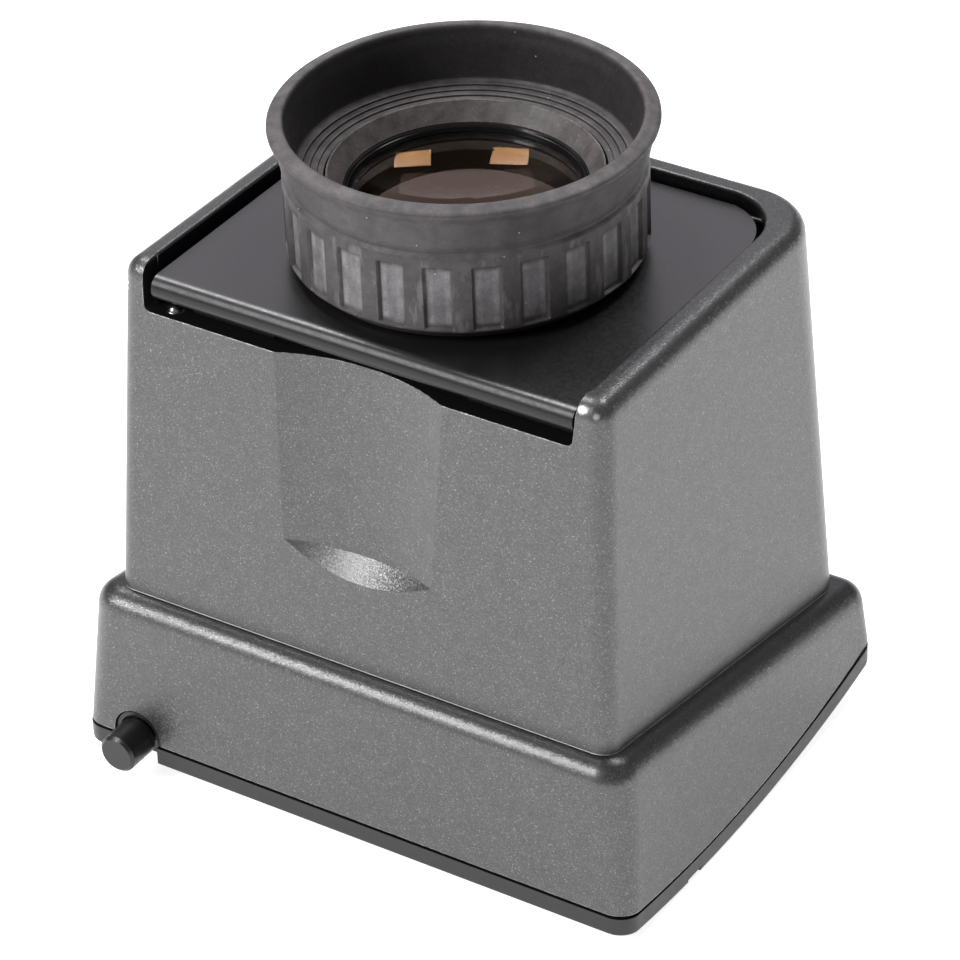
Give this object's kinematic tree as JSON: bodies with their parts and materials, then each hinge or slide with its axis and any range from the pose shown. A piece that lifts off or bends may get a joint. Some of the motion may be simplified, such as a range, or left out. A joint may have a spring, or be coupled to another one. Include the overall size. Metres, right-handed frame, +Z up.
{
  "type": "slide viewer",
  "caption": "Hand-held slide viewer: tapered metal hood on a curved film base, hinged lens board, focusing eyepiece with flared rubber eyecup, release knob.",
  "frame": {"origin": "middle of the overall box in plan, on the surface that the feet stand on", "axes": "+Z up along the optical axis towards the eye, front with the finger scoop and the knob faces -Y, +X to the right seen from the front"},
  "size_m": [0.0935, 0.0818, 0.1028],
  "materials": {
    "hood_paint": "metal-flake dark grey paint, satin",
    "plate_black": "black satin paint",
    "board_black": "satin black moulding",
    "rubber_black": "matt, dusty",
    "foot_rubber": "matt",
    "knob_black": "satin",
    "cell_black": "matt black anodised",
    "ring_black": "gloss",
    "inner_black": "matt, anti-reflection",
    "gate_black": "matt black paint",
    "foam_black": "open foam",
    "opal": "opal white",
    "coated_glass": "polished, coated",
    "pin_black": "blackened steel",
    "bright_steel": "polished steel",
    "plain_steel": "plain steel",
    "brass": "turned"
  },
  "bodies": {
    "base": {"base_plate": "plate_black", "feet": "foot_rubber", "diffuser": "opal", "film_gate": "gate_black", "gate_screws": "plain_steel", "button_bush": "plate_black", "spring_post": "plain_steel", "button_spring": "bright_steel", "base_hinge_pin": "plain_steel"},
    "housing": {"base_shell": "hood_paint", "hood_shell": "hood_paint", "light_baffle": "inner_black", "board_seat": "inner_black", "board_catch": "bright_steel", "board_hinge_pins": "pin_black", "shell_screws": "plain_steel", "pressure_frame": "gate_black", "pressure_foam": "foam_black", "latch_catch": "plain_steel"},
    "lens_board": {"lens_board": "board_black", "focus_mount": "cell_black", "mount_screws": "plain_steel", "ring_keeper": "plain_steel"},
    "focus_ring": {"focus_ring": "cell_black", "rubber_eyecup": "rubber_black"},
    "lens_cell": {"lens_cell": "cell_black", "eye_lens": "coated_glass", "field_lens": "coated_glass", "lens_spacer": "cell_black", "lens_retainer": "ring_black", "rear_retainer": "cell_black", "cam_followers": "brass"},
    "release_button": {"release_button": "knob_black", "latch_slider": "plain_steel"}
  },
  "joints": [
    {"name": "housing_hinge", "type": "hinge", "parent": "base", "child": "housing", "pos_m": [0, 0.0388, 0.0077], "axis": [-1, 0, 0], "range_deg": [0, 70]},
    {"name": "board_hinge", "type": "hinge", "parent": "housing", "child": "lens_board", "pos_m": [0, 0.0283, 0.07975], "axis": [-1, 0, 0], "range_deg": [0, 40]},
    {"name": "focus_turn", "type": "hinge", "parent": "lens_board", "child": "focus_ring", "pos_m": [0, 0.0009, 0.0808], "axis": [0, 0, 1], "range_deg": [-50, 50]},
    {"name": "cell_slide", "type": "slide", "parent": "lens_board", "child": "lens_cell", "axis": [0, 0, 1], "range_m": [-0.0015, 0.0015]},
    {"name": "button_press", "type": "slide", "parent": "base", "child": "release_button", "axis": [0, 1, 0], "range_m": [0, 0.0022], "stiffness_N_per_m": 400, "springref_m": -0.002}
  ],
  "couplings": [
    {"joint": "cell_slide", "follows": "focus_turn", "m_per_rad": 0.0017172}
  ]
}
